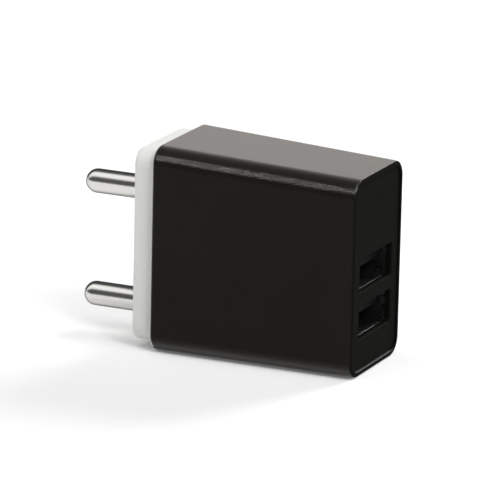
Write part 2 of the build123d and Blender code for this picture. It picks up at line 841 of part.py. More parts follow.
pin_rows_z = [transformer_z + side * (bobbin_length + rail_length) / 2 for side in (-1, 1)]
with BuildPart() as transformer_pins:
    for row_z in pin_rows_z:
        with BuildSketch(board_plane(rail_height / 2, transformer_x, row_z)):
            with GridLocations(core_width / 4, 0, 4, 1):
                Circle(lead_radius)
        extrude(amount=-(rail_height / 2 + board_thickness + lead_tip))
        for index in range(4):
            round_leads.append((transformer_x + (index - 1.5) * core_width / 4, row_z))
transformer_pins.part.label = "transformer_pins"
export_step(transformer_pins.part, "parts/transformer_pins.step")

with BuildPart() as bobbin:
    with BuildSketch(winding_plane(transformer_z)):
        Rectangle(tube_x, tube_y)
    extrude(amount=bobbin_length / 2, both=True)
    for side in (-1, 1):
        with BuildSketch(winding_plane(transformer_z + side * bobbin_length / 2)):
            Rectangle(flange_x, flange_y)
        extrude(amount=-side * bobbin_wall)
        with BuildSketch(board_plane(0, transformer_x, transformer_z)):
            with Locations((0, side * (bobbin_length / 2 + (rail_length - bobbin_wall) / 2))):
                Rectangle(core_width, rail_length + bobbin_wall)
        extrude(amount=rail_height)
    with BuildSketch(winding_plane(transformer_z)):
        Rectangle(bore_x, bore_y)
    extrude(amount=core_length, both=True, mode=Mode.SUBTRACT)
    add(transformer_pins.part, mode=Mode.SUBTRACT)
bobbin.part.label = "transformer_bobbin"
export_step(bobbin.part, "parts/transformer_bobbin.step")

winding_layers = {
    "transformer_primary_winding": (0, winding_step),
    "transformer_secondary_winding": (winding_step, 2 * winding_step - tape_thickness),
    "transformer_winding_tape": (2 * winding_step - tape_thickness, 2 * winding_step),
}
for name, (inner_step, outer_step) in winding_layers.items():
    with BuildPart() as layer:
        with BuildSketch(winding_plane(transformer_z)):
            RectangleRounded(tube_x + 2 * outer_step, tube_y + 2 * outer_step, outer_step)
            if inner_step:
                RectangleRounded(
                    tube_x + 2 * inner_step, tube_y + 2 * inner_step, inner_step, mode=Mode.SUBTRACT
                )
            else:
                Rectangle(tube_x, tube_y, mode=Mode.SUBTRACT)
        extrude(amount=winding_length / 2, both=True)
    layer.part.label = name
    export_step(layer.part, f"parts/{name}.step")

with BuildPart() as core_tape:
    with BuildSketch(board_plane(core_middle, transformer_x, transformer_z)):
        Rectangle(core_width + tape_thickness, core_length + tape_thickness)
        Rectangle(core_width, core_length, mode=Mode.SUBTRACT)
    extrude(amount=core_thickness / 3, both=True)
core_tape.part.label = "transformer_core_tape"
export_step(core_tape.part, "parts/transformer_core_tape.step")

# ---- Circuit board, with a hole for every lead ----
with BuildPart() as circuit_board:
    with BuildSketch(board_plane(0)):
        with Locations((board_middle_x, board_middle_z)):
            Rectangle(board_length, board_height)
        with Locations(round_leads):
            Circle(lead_radius + hole_clearance, mode=Mode.SUBTRACT)
        for x, z, size_x, size_z in flat_leads:
            with Locations((x, z)):
                Rectangle(size_x + 2 * hole_clearance, size_z + 2 * hole_clearance, mode=Mode.SUBTRACT)
    extrude(amount=-board_thickness)
circuit_board.part.label = "circuit_board"
export_step(circuit_board.part, "parts/circuit_board.step")

# ---- Solder joints on the board's back ----
with BuildPart() as solder_joints:
    back_plane = Plane(origin=(0, board_back, 0), x_dir=(1, 0, 0), z_dir=(0, -1, 0))
    with BuildSketch(back_plane):
        with Locations(round_leads):
            Circle(lead_radius + solder_margin)
            Circle(lead_radius, mode=Mode.SUBTRACT)
        for x, z, size_x, size_z in flat_leads:
            with Locations((x, z)):
                Rectangle(size_x + 2 * flat_solder_margin, size_z + 2 * flat_solder_margin)
                Rectangle(size_x, size_z, mode=Mode.SUBTRACT)
    extrude(amount=-solder_height)
solder_joints.part.label = "solder_joints"
export_step(solder_joints.part, "parts/solder_joints.step")
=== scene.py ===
"""Looks of a USB wall charger with two round plug pins, built around its CAD frame."""

import math

import bmesh
import bpy
from bpy.props import FloatProperty, FloatVectorProperty, PointerProperty
from mathutils import Matrix, Vector


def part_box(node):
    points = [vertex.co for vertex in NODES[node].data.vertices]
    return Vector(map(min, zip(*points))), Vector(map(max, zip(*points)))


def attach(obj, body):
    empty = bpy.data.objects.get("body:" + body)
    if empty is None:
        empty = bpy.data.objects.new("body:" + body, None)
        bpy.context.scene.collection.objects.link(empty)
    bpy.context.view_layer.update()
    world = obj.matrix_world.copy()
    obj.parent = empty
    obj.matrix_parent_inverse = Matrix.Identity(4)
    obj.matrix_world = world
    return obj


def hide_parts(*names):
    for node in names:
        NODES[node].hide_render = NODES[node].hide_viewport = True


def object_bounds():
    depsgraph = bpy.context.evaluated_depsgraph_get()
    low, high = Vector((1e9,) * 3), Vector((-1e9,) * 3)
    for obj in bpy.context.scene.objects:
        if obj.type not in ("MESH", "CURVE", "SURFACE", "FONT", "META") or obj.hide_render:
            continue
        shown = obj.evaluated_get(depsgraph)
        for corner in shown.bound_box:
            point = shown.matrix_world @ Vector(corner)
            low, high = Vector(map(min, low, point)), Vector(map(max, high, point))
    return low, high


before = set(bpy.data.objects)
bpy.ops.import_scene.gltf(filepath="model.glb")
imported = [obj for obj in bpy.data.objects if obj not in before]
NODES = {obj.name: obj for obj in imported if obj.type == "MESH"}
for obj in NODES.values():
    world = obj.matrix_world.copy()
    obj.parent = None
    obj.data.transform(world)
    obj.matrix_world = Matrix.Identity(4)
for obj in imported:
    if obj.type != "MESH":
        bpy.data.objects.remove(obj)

bl_info = {
    "name": "USB wall charger",
    "version": (1, 0, 0),
    "blender": (4, 5, 0),
    "location": "View3D > Sidebar > Charger",
    "description": "Builds the looks of a USB wall charger around its CAD frame",
    "category": "Object",
}

MM = 0.001
CAD_LOW, CAD_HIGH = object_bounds()

# The wave texture's scale for ridges one metre apart.
WAVE_PITCH = math.pi / 10

# Cleaning and softening of the shapes copied from nodes.
MERGE_DISTANCE = 0.0005 * MM
FLATNESS = 0.002 * MM
FLAT_ANGLE = math.radians(1)
SHARP_ANGLE = math.radians(30)
SHADED_SHARP_ANGLE = math.radians(32)
SOFTENING_STEPS = 3

# A socket's softened lip ends just above its shell's bottom wall.
LIP_HEIGHT = 0.32 * MM

# The sleeve's rim, and the parts of a face's normal that tell its rim, mouth and front top corner from its
# skin; the corner gets a glossier, paler plastic that catches a painted highlight.
RIM_DEPTH = 0.3 * MM
RIM_TURN = 0.6
MOUTH_FLOOR_TURN = 0.2
CORNER_TURN = 0.3
CORNER_TILT = 0.2

# The lamp overhead, a long strip along X: the way to its middle, and the cosines at its soft edge.
OVERHEAD_WAY = Vector((0, -0.235, 0.972))
OVERHEAD_LEVEL = 1.6
OVERHEAD_EDGE = 0.82
OVERHEAD_CORE = 0.99

# The walls, and the angles above the horizon between which white turns into wall.
WALL_LEVEL = 0.12
HORIZON_ANGLE = math.radians(0.5)
WALL_ANGLE = math.radians(2.5)

# The near lamp that draws a light line along the housing's front top rounding.
ROUNDING_INSET = 0.5 * MM
STRIP_WAY = Vector((-0.396, -0.662, 0.636)).normalized()
STRIP_DISTANCE = 320 * MM
STRIP_ALONG = 40 * MM
STRIP_ACROSS = 42 * MM
STRIP_POWER = 2.1
STRIP_TINT = (1.0, 0.97, 0.88)

# What the floor adds where the camera or a reflection sees it.
FLOOR_GLOW = 0.12


# ---------------------------------------------------------------- settings


def colour_setting(name, value, description):
    """A colour in linear light."""
    return FloatVectorProperty(
        name=name, description=description, subtype="COLOR", size=3, min=0, max=1, default=value
    )


def angle_setting(name, degrees, description):
    """An angle, given in degrees and kept in radians."""
    return FloatProperty(
        name=name, description=description, subtype="ANGLE", default=math.radians(degrees)
    )


class FinishSettings(bpy.types.PropertyGroup):
    """Colours and surface textures."""

    housing_colour: colour_setting("Housing", (0.0014, 0.0013, 0.0011), "Black plastic of the sleeve")
    housing_roughness: FloatProperty(
        name="Housing roughness", description="Gloss of the spark-eroded skin", default=0.17, min=0, max=1
    )
    housing_grain: FloatProperty(
        name="Housing grain", description="Width of one grain", default=0.2 * MM, unit="LENGTH"
    )
    mouth_softening: FloatProperty(
        name="Mouth softening", description="Width of the broken edge inside the sleeve's mouth",
        default=0.07 * MM, unit="LENGTH",
    )
    lip_softening: FloatProperty(
        name="Socket lip", description="Width of the broken lower edge of each socket's mouth",
        default=0.02 * MM, unit="LENGTH",
    )
    panel_colour: colour_setting("End panel", (0.0055, 0.0055, 0.0048), "Black plastic of the panel")
    base_colour: colour_setting("Plug base", (0.785, 0.785, 0.76), "White moulded plastic")
    plating_colour: colour_setting("Pin plating", (0.66, 0.65, 0.63), "Nickel plate on the pins")
    resist_colour: colour_setting("Board", (0.012, 0.085, 0.030), "Solder resist on the circuit board")
    sleeve_colour: colour_setting("Capacitor sleeves", (0.012, 0.016, 0.045), "Film round the capacitors")
    disc_colour: colour_setting("Safety capacitor", (0.03, 0.11, 0.36), "Dipped coat of the disc")
    resistor_colour: colour_setting("Fuse resistor", (0.08, 0.20, 0.30), "Flameproof lacquer")
    tape_colour: colour_setting("Winding tape", (0.72, 0.52, 0.05), "Polyester tape round the transformer")
    copper_colour: colour_setting("Windings", (0.62, 0.22, 0.09), "Enamelled copper wire")
    wire_width: FloatProperty(
        name="Winding wire", description="Pitch of one turn of wire", default=0.28 * MM, unit="LENGTH"
    )
    track_pitch: FloatProperty(
        name="Board tracks", description="Spacing of the copper tracks", default=2.1 * MM, unit="LENGTH"
    )


class StudioSettings(bpy.types.PropertyGroup):
    """Camera, lamps and floor."""

    azimuth: angle_setting("Azimuth", 24.271, "Camera's turn round the charger")
    elevation: angle_setting("Elevation", 15.492, "Camera's height angle")
    roll: angle_setting("Roll", 1.304, "Camera's tilt")
    distance: FloatProperty(
        name="Distance", description="Camera to the aim point", unit="LENGTH", default=802.7 * MM
    )
    lens: FloatProperty(name="Lens", description="Focal length in millimetres", default=359.7)
    aim: FloatVectorProperty(
        name="Aim", description="Point that the camera looks at", subtype="TRANSLATION",
        unit="LENGTH", default=(16.613 * MM, -0.458 * MM, 1.613 * MM),
    )
    floor_size: FloatProperty(name="Floor", description="Side of the floor", unit="LENGTH", default=12.0)


# ---------------------------------------------------------------- node helpers


class Shader:
    """A material's node tree with short ways to add to it."""

    def __init__(self, name):
        self.material = bpy.data.materials.new(name)
        self.material.use_nodes = True
        self.nodes = self.material.node_tree.nodes
        self.links = self.material.node_tree.links
        self.surface = self.nodes["Principled BSDF"]
        self.place = self.nodes.new("ShaderNodeTexCoord").outputs["Object"]

    def add(self, kind, **settings):
        """A new node; a setting is an attribute of the node or, failing that, an input by name."""
        made = self.nodes.new(kind)
        for key, value in settings.items():
            if hasattr(made, key):
                setattr(made, key, value)
            else:
                self.feed(made.inputs[key.replace("_", " ")], value)
        return made

    def feed(self, socket, value):
        """Links an output to a socket, or sets the socket's value."""
        if isinstance(value, bpy.types.NodeSocket):
            self.links.new(value, socket)
        else:
            socket.default_value = value

    def set(self, **inputs):
        """Sets or links inputs of the surface shader."""
        for key, value in inputs.items():
            self.feed(self.surface.inputs[key.replace("_", " ")], value)

    def stretched(self, scale):
        """The place on the object with each axis scaled."""
        mapping = self.add("ShaderNodeMapping", Scale=scale)
        self.links.new(self.place, mapping.inputs["Vector"])
        return mapping.outputs["Vector"]

    def noise(self, size, detail=2.0, roughness=0.5, place=None):
        """Noise with features of that size in metres."""
        made = self.add("ShaderNodeTexNoise", Scale=1 / size, Detail=detail, Roughness=roughness)
        self.links.new(place or self.place, made.inputs["Vector"])
        return made.outputs["Fac"]

    def cells(self, size):
        """Distance to the nearest grain's middle, with grains of that size in metres."""
        made = self.add("ShaderNodeTexVoronoi", Scale=1 / size)
        self.links.new(self.place, made.inputs["Vector"])
        return made.outputs["Distance"]

    def turns(self, pitch, axis, distortion=0.0):
        """Ridges across an axis at that pitch in metres."""
        made = self.add("ShaderNodeTexWave", bands_direction=axis, Distortion=distortion)
        made.inputs["Scale"].default_value = WAVE_PITCH / pitch
        made.inputs["Detail"].default_value = 2.0
        made.inputs["Detail Scale"].default_value = 2.0
        self.links.new(self.place, made.inputs["Vector"])
        return made.outputs["Fac"]

    def span(self, value, low, high, start=0.0, end=1.0):
        """value taken from low..high to start..end, clamped."""
        made = self.add("ShaderNodeMapRange")
        for key, number in (("From Min", low), ("From Max", high), ("To Min", start), ("To Max", end)):
            made.inputs[key].default_value = number
        self.links.new(value, made.inputs["Value"])
        return made.outputs["Result"]

    def spread(self, noise, start=0.0, end=1.0):
        """The usual range of a noise, 0.3 to 0.7, taken to start..end, clamped."""
        return self.span(noise, 0.3, 0.7, start, end)

    def clouded(self, noise, colour, share):
        """A colour that drifts with a noise towards a darker or lighter one."""
        return self.blend(self.spread(noise), colour, shade(colour, share))

    def maths(self, operation, first, second):
        """Result of a maths node."""
        made = self.add("ShaderNodeMath", operation=operation)
        self.feed(made.inputs[0], first)
        self.feed(made.inputs[1], second)
        return made.outputs[0]

    def blend(self, factor, first, second):
        """Two colours mixed by a factor."""
        made = self.add("ShaderNodeMix", data_type="RGBA")
        colour_inputs = [s for s in made.inputs if s.type == "RGBA"]
        self.feed(made.inputs[0], factor)
        self.feed(colour_inputs[0], opaque(first))
        self.feed(colour_inputs[1], opaque(second))
        return next(s for s in made.outputs if s.type == "RGBA")

    def bump(self, height, depth, strength):
        """A normal with relief of that depth in metres."""
        made = self.add("ShaderNodeBump", Distance=depth, Strength=strength)
        self.links.new(height, made.inputs["Height"])
        return made.outputs["Normal"]


def opaque(colour):
    """A colour with alpha, or the socket that was given."""
    if isinstance(colour, bpy.types.NodeSocket):
        return colour
    return (*colour[:3], 1.0)


def shade(colour, share):
    """A colour made darker or lighter."""
    return tuple(min(1.0, part * share) for part in colour[:3])


def finish_nodes(material, *names):
    """Gives CAD nodes a material in their own slots."""
    for name in names:
        slots = NODES[name].material_slots
        if not slots:
            raise RuntimeError(f"{name} has no material slot")
        for slot in slots:
            slot.material = material


# ---------------------------------------------------------------- materials


def housing_skin(finish):
    """Spark-eroded black plastic: dense fine grain with a dry sheen at a low angle."""
    s = Shader("housing_skin")
    size = finish.housing_grain
    gloss = finish.housing_roughness
    grains = s.cells(size)
    coarse = s.noise(size * 0.8, 2.0, 0.6)
    speckle = s.noise(size * 1.6, 2.0, 0.6)
    height = s.maths("ADD", grains, s.maths("MULTIPLY", coarse, 0.5))
    cloud = s.noise(9 * MM, 3.0)
    s.set(
        Base_Color=s.clouded(cloud, finish.housing_colour, 1.3),
        Roughness=s.span(speckle, 0.35, 0.65, gloss - 0.08, gloss + 0.08),
        Specular_IOR_Level=0.045,
        Sheen_Weight=1.0,
        Sheen_Roughness=0.34,
        Normal=s.bump(height, 0.035 * MM, 0.8),
    )
    s.surface.inputs["Sheen Tint"].default_value = (1.0, 0.955, 0.95, 1.0)
    return s.material


def panel_skin(finish, name):
    """A finer, duller black for the end panel and the rim round it."""
    s = Shader(name)
    fine = s.noise(0.09 * MM, 4.0, 0.6)
    cloud = s.noise(6 * MM, 2.0)
    s.set(
        Base_Color=s.clouded(cloud, finish.panel_colour, 1.2),
        Roughness=s.spread(fine, 0.5, 0.62),
        Specular_IOR_Level=0.005,
        Normal=s.bump(fine, 0.006 * MM, 0.5),
    )
    return s.material


def base_plastic(finish):
    """Satin white plastic with faint flow clouds."""
    s = Shader("base_plastic")
    cloud = s.noise(7 * MM, 3.0)
    fine = s.noise(0.12 * MM, 3.0, 0.6)
    s.set(
        Base_Color=s.clouded(cloud, finish.base_colour, 0.975),
        Roughness=s.spread(fine, 0.33, 0.42),
        Specular_IOR_Level=0.45,
        Normal=s.bump(fine, 0.003 * MM, 0.4),
    )
    return s.material


def pin_plating(finish):
    """Nickel plate over turned brass: faint rings round the pin and hairline rubs along it."""
    s = Shader("pin_plating")
    nickel = finish.plating_colour
    rings = s.noise(0.35 * MM, 3.0, 0.6, s.stretched((9.0, 0.25, 0.25)))
    rubs = s.noise(0.5 * MM, 2.0, 0.6, s.stretched((0.08, 5.0, 5.0)))
    s.set(
        Base_Color=s.blend(s.span(rubs, 0.35, 0.65), nickel, shade(nickel, 0.93)),
        Metallic=1.0,
        # The near-black edge tint dims the nickel's reflections at grazing angles: painted shade along the
        # pins' upper and lower rims.
        Specular_Tint=(0.05, 0.05, 0.05, 1.0),
        Roughness=s.spread(rubs, 0.17, 0.26),
        Normal=s.bump(rings, 0.004 * MM, 0.35),
    )
    return s.material


def plain_metal(name, colour, roughness, size, stretch, depth=0.004 * MM):
    """Metal with marks drawn out along one way."""
    s = Shader(name)
    marks = s.noise(size, 3.0, 0.6, s.stretched(stretch))
    s.set(
        Base_Color=s.clouded(marks, colour, 0.85),
        Metallic=1.0,
        Roughness=s.spread(marks, roughness - 0.05, roughness + 0.08),
        Normal=s.bump(marks, depth, 0.4),
    )
    return s.material


def plain_plastic(name, colour, roughness, grain, depth, level=0.4):
    """Moulded plastic with a fine grain."""
    s = Shader(name)
    fine = s.noise(grain, 3.0, 0.6)
    cloud = s.noise(grain * 20, 2.0)
    s.set(
        Base_Color=s.clouded(cloud, colour, 0.8),
        Roughness=s.spread(fine, roughness - 0.04, roughness + 0.06),
        Specular_IOR_Level=level,
        Normal=s.bump(fine, depth, 0.5),
    )
    return s.material


def board_laminate(finish):
    """Green solder resist over copper tracks and a woven base."""
    s = Shader("board_laminate")
    turned = s.add("ShaderNodeMapping")
    turned.inputs["Rotation"].default_value = (math.radians(90), 0, 0)
    s.links.new(s.place, turned.inputs["Vector"])
    tracks = s.add("ShaderNodeTexBrick", offset=0.35, squash=1.6, squash_frequency=3, Scale=1.0)
    for key, number in (
        ("Mortar Size", finish.track_pitch * 0.14),
        ("Mortar Smooth", 0.15),
        ("Brick Width", finish.track_pitch * 2.3),
        ("Row Height", finish.track_pitch),
    ):
        tracks.inputs[key].default_value = number
    s.links.new(turned.outputs["Vector"], tracks.inputs["Vector"])
    weave = s.maths("MULTIPLY", s.turns(0.45 * MM, "X"), s.turns(0.45 * MM, "Z"))
    green = s.blend(s.span(weave, 0.0, 1.0), finish.resist_colour, shade(finish.resist_colour, 1.25))
    height = s.maths("ADD", tracks.outputs["Fac"], s.maths("MULTIPLY", weave, 0.08))
    s.set(
        Base_Color=s.blend(tracks.outputs["Fac"], green, shade(finish.resist_colour, 2.1)),
        Roughness=s.span(weave, 0.0, 1.0, 0.26, 0.36),
        Normal=s.bump(height, 0.03 * MM, 0.5),
    )
    return s.material


def solder():
    """Wetted tin: bright, with soft ripples and dull specks of flux."""
    s = Shader("solder")
    ripple = s.noise(0.5 * MM, 2.0)
    specks = s.noise(0.15 * MM, 4.0, 0.7)
    s.set(
        Base_Color=s.blend(s.span(specks, 0.55, 0.7), (0.72, 0.72, 0.74), (0.42, 0.40, 0.36)),
        Metallic=1.0,
        Roughness=s.span(specks, 0.4, 0.7, 0.2, 0.5),
        Normal=s.bump(ripple, 0.05 * MM, 0.4),
    )
    return s.material


def ferrite():
    """Dark sintered ferrite with pits and paler dust."""
    s = Shader("ferrite")
    pits = s.cells(0.35 * MM)
    dust = s.noise(0.6 * MM, 5.0, 0.7)
    s.set(
        Base_Color=s.blend(s.span(dust, 0.45, 0.7), (0.022, 0.021, 0.021), (0.06, 0.057, 0.055)),
        Metallic=0.25,
        Roughness=s.spread(dust, 0.5, 0.68),
        Normal=s.bump(pits, 0.02 * MM, 0.5),
    )
    return s.material


def wound_wire(finish, name, axis):
    """Turns of enamelled copper laid side by side along an axis, with painted shade in the grooves between
    the turns.
    """
    s = Shader(name)
    turns = s.turns(finish.wire_width, axis)
    varnish_and_shade = s.noise(1.5 * MM, 3.0)
    copper = finish.copper_colour
    # Between the turns the copper goes darker: painted shade in the grooves; the noise varies how dark it
    # gets and, below, the varnish's gloss.
    dark = s.blend(s.spread(varnish_and_shade), shade(copper, 0.55), shade(copper, 0.4))
    s.set(
        Base_Color=s.blend(s.span(turns, 0.05, 0.6), dark, copper),
        Metallic=0.85,
        Roughness=s.spread(varnish_and_shade, 0.24, 0.36),
        Coat_Weight=0.5,
        Coat_Roughness=0.15,
        Normal=s.bump(turns, 0.1 * MM, 0.8),
    )
    return s.material


def winding_tape(finish):
    """Yellow polyester tape in overlapping wraps with fine creases."""
    s = Shader("winding_tape")
    wraps = s.turns(2.6 * MM, "Z", 0.4)
    creases = s.noise(0.8 * MM, 4.0, 0.6, s.stretched((1.0, 1.0, 3.0)))
    s.set(
        Base_Color=s.blend(s.span(wraps, 0.8, 1.0), finish.tape_colour, shade(finish.tape_colour, 0.72)),
        Roughness=s.spread(creases, 0.22, 0.36),
        Normal=s.bump(s.maths("ADD", creases, s.span(wraps, 0.9, 1.0)), 0.03 * MM, 0.35),
    )
    return s.material


def shrunk_sleeve(finish):
    """Shrunk film: glossy, with faint stretch lines round the can."""
    s = Shader("capacitor_sleeve")
    lines = s.noise(0.4 * MM, 3.0, 0.6, s.stretched((0.4, 3.0, 0.4)))
    cloud = s.noise(3 * MM, 2.0)
    s.set(
        Base_Color=s.clouded(cloud, finish.sleeve_colour, 1.5),
        Roughness=s.spread(lines, 0.16, 0.28),
        Coat_Weight=0.3,
        Coat_Roughness=0.08,
        Normal=s.bump(lines, 0.015 * MM, 0.3),
    )
    return s.material


def wound_foil():
    """The edge of wound foil and paper: fine dark and pale layers."""
    s = Shader("wound_foil")
    layers = s.noise(0.16 * MM, 2.0, 0.5, s.stretched((1.0, 0.05, 1.0)))
    stain = s.noise(1.5 * MM, 3.0)
    paper = s.blend(s.spread(stain), (0.50, 0.44, 0.33), (0.40, 0.34, 0.25))
    s.set(
        Base_Color=s.blend(s.span(layers, 0.45, 0.55), paper, (0.62, 0.62, 0.63)),
        Metallic=s.span(layers, 0.45, 0.55, 0.0, 0.9),
        Roughness=s.spread(stain, 0.5, 0.7),
        Normal=s.bump(layers, 0.02 * MM, 0.5),
    )
    return s.material


def dipped_coat(finish):
    """Dipped epoxy: glossy with an orange-peel surface and a few pinholes."""
    s = Shader("disc_coat")
    peel = s.noise(0.7 * MM, 1.0)
    pinholes = s.span(s.cells(1.1 * MM), 0.0, 0.08, 1.0, 0.0)
    s.set(
        # Each pinhole is a bump pit, and its darker blue is painted shade in the pit.
        Base_Color=s.blend(pinholes, finish.disc_colour, shade(finish.disc_colour, 0.4)),
        Roughness=s.spread(peel, 0.14, 0.24),
        Normal=s.bump(s.maths("SUBTRACT", peel, pinholes), 0.04 * MM, 0.35),
    )
    return s.material


def resistor_lacquer(finish):
    """Flameproof lacquer: dull, with a fine grit and paler sagging."""
    s = Shader("resistor_coat")
    grit = s.noise(0.12 * MM, 4.0, 0.7)
    sag = s.noise(1.2 * MM, 2.0, 0.5, s.stretched((1.0, 0.4, 1.0)))
    s.set(
        Base_Color=s.clouded(sag, finish.resistor_colour, 1.25),
        Roughness=s.spread(grit, 0.42, 0.6),
        Normal=s.bump(grit, 0.01 * MM, 0.5),
    )
    return s.material


def moulded_rubber():
    """Dull rubber with a dusty bloom."""
    s = Shader("seal_rubber")
    bloom = s.noise(1.0 * MM, 5.0, 0.7)
    fine = s.noise(0.1 * MM, 3.0, 0.6)
    s.set(
        Base_Color=s.blend(s.span(bloom, 0.45, 0.75), (0.012, 0.012, 0.012), (0.035, 0.034, 0.032)),
        Roughness=s.spread(bloom, 0.62, 0.78),
        Specular_IOR_Level=0.3,
        Normal=s.bump(fine, 0.012 * MM, 0.5),
    )
    return s.material


# ---------------------------------------------------------------- operators


def softened_copy(node, name, width, material, ceiling=math.inf):
    """A new piece with a node's shape, the sharp edges of its open end broken below a ceiling."""
    edge_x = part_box(node)[1].x
    mesh = bpy.data.meshes.new(name)
    shape = bmesh.new()
    shape.from_mesh(NODES[node].data)
    bmesh.ops.remove_doubles(shape, verts=shape.verts, dist=MERGE_DISTANCE)
    sharp = [
        edge for edge in shape.edges
        if all(abs(vertex.co.x - edge_x) < FLATNESS and vertex.co.z < ceiling for vertex in edge.verts)
        and len(edge.link_faces) == 2
        and edge.calc_face_angle() > SHARP_ANGLE
    ]
    if not sharp:
        raise RuntimeError(f"{node} has no sharp edge at its open end")
    bmesh.ops.bevel(
        shape, geom=sharp, offset=width, offset_type="OFFSET", segments=SOFTENING_STEPS, profile=0.5,
        affect="EDGES", clamp_overlap=True,
    )
    bmesh.ops.join_triangles(
        shape, faces=shape.faces, angle_face_threshold=FLAT_ANGLE,
        angle_shape_threshold=math.radians(90),
    )
    for face in shape.faces:
        face.smooth = True
    shape.to_mesh(mesh)
    shape.free()
    mesh.set_sharp_from_angle(angle=SHADED_SHARP_ANGLE)
    mesh.materials.append(material)
    piece = bpy.data.objects.new(name, mesh)
    bpy.context.scene.collection.objects.link(piece)
    even = piece.modifiers.new("even shading", "WEIGHTED_NORMAL")
    even.keep_sharp = True
    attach(piece, "root")
    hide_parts(node)
    return piece


def add_housing(finish):
    """The sleeve: its mouth softened, its rim duller than its skin, its front top corner in a glossier,
    paler plastic put there for a glint, a painted highlight.
    """
    low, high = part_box("housing")
    middle_z = (low.z + high.z) / 2
    seat_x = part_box("usb_face_panel")[0].x
    sleeve = softened_copy("housing", "sleeve", finish.mouth_softening, housing_skin(finish))
    # A glossier, slightly paler plastic goes on the front top corner only, so the lamps put a glint there:
    # a painted highlight, not a rubbed corner.
    glint_plastic = plain_plastic("glint_corner_plastic", (0.004, 0.004, 0.004), 0.3, 0.1 * MM, 0.002 * MM, 0.5)
    sleeve.data.materials.append(panel_skin(finish, "housing_rim"))
    sleeve.data.materials.append(glint_plastic)
    skin_index, rim_index, glint_corner_index = range(3)
    for face in sleeve.data.polygons:
        centre, way = face.center, face.normal
        inward = way.y * centre.y + way.z * (centre.z - middle_z) < 0
        in_mouth = inward and centre.x > seat_x and way.z < MOUTH_FLOOR_TURN
        on_rim = not inward and centre.x > high.x - RIM_DEPTH and way.x > RIM_TURN
        # Faces turned to the front and the top near the rim: the patch that carries the painted highlight.
        on_front_top = way.y < -CORNER_TURN and way.z > CORNER_TURN
        at_glint_corner = not inward and on_front_top and way.x > CORNER_TILT
        if at_glint_corner:
            face.material_index = glint_corner_index
        elif in_mouth or on_rim:
            face.material_index = rim_index
        else:
            face.material_index = skin_index


class CHARGER_OT_housing(bpy.types.Operator):
    """Build the black sleeve"""

    bl_idname = "charger.housing"
    bl_label = "Housing"

    def execute(self, context):
        add_housing(context.scene.charger_finish)
        return {"FINISHED"}


class CHARGER_OT_face_panel(bpy.types.Operator):
    """Finish the end panel"""

    bl_idname = "charger.face_panel"
    bl_label = "End panel"

    def execute(self, context):
        finish_nodes(panel_skin(context.scene.charger_finish, "panel_skin"), "usb_face_panel")
        return {"FINISHED"}


class CHARGER_OT_plug_base(bpy.types.Operator):
    """Finish the white plug base"""

    bl_idname = "charger.plug_base"
    bl_label = "Plug base"

    def execute(self, context):
        finish_nodes(base_plastic(context.scene.charger_finish), "plug_base")
        return {"FINISHED"}


class CHARGER_OT_plug_pins(bpy.types.Operator):
    """Finish the two plug pins and their springs"""

    bl_idname = "charger.plug_pins"
    bl_label = "Plug pins"

    def execute(self, context):
        finish_nodes(pin_plating(context.scene.charger_finish), "upper_plug_pin", "lower_plug_pin")
        bronze = plain_metal("spring_metal", (0.70, 0.44, 0.22), 0.28, 0.3 * MM, (0.25, 4.0, 4.0))
        finish_nodes(bronze, "upper_pin_contact", "lower_pin_contact")
        return {"FINISHED"}


class CHARGER_OT_sockets(bpy.types.Operator):
    """Build the two sockets' shells and finish what is in them"""

    bl_idname = "charger.sockets"
    bl_label = "Sockets"

    def execute(self, context):
        finish = context.scene.charger_finish
        # The shells' steel is kept dark grey, darker than plated steel, so the sockets' insides read dark:
        # painted shade on real metal with drawn marks.
        shaded_steel = plain_metal(
            "socket_steel", (0.24, 0.24, 0.24), 0.28, 0.6 * MM, (0.5, 1.5, 1.5), 0.0005 * MM
        )
        black = plain_plastic("socket_plastic", (0.005, 0.005, 0.005), 0.5, 0.08 * MM, 0.004 * MM, 0.02)
        gold = plain_metal("contact_gold", (0.85, 0.62, 0.25), 0.2, 0.2 * MM, (0.2, 4.0, 4.0))
        for place in ("upper", "lower"):
            node = f"{place}_socket_shell"
            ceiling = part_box(node)[0].z + LIP_HEIGHT
            shell = softened_copy(node, f"{place}_shell", finish.lip_softening, shaded_steel, ceiling)
            finish_nodes(black, f"{place}_socket_insulator")
            finish_nodes(gold, f"{place}_socket_contacts")
        return {"FINISHED"}


def tinned_lead():
    """Tinned wire with drawing marks."""
    found = bpy.data.materials.get("tinned_lead")
    return found or plain_metal("tinned_lead", (0.66, 0.66, 0.67), 0.26, 0.3 * MM, (2.0, 0.3, 2.0))


class CHARGER_OT_circuit_board(bpy.types.Operator):
    """Finish the circuit board and its solder joints"""

    bl_idname = "charger.circuit_board"
    bl_label = "Circuit board"

    def execute(self, context):
        finish_nodes(board_laminate(context.scene.charger_finish), "circuit_board")
        finish_nodes(solder(), "solder_joints")
        return {"FINISHED"}


class CHARGER_OT_chips(bpy.types.Operator):
    """Finish the flat parts on the board"""

    bl_idname = "charger.chips"
    bl_label = "Chips"

    def execute(self, context):
        resin = plain_plastic("chip_resin", (0.014, 0.014, 0.015), 0.55, 0.1 * MM, 0.01 * MM, 0.35)
        finish_nodes(resin, "chip_resistors")
        for name in ("bridge_rectifier", "charge_controller", "output_rectifier", "switching_controller"):
            finish_nodes(resin, f"{name}_body")
            finish_nodes(tinned_lead(), f"{name}_leads")
        return {"FINISHED"}


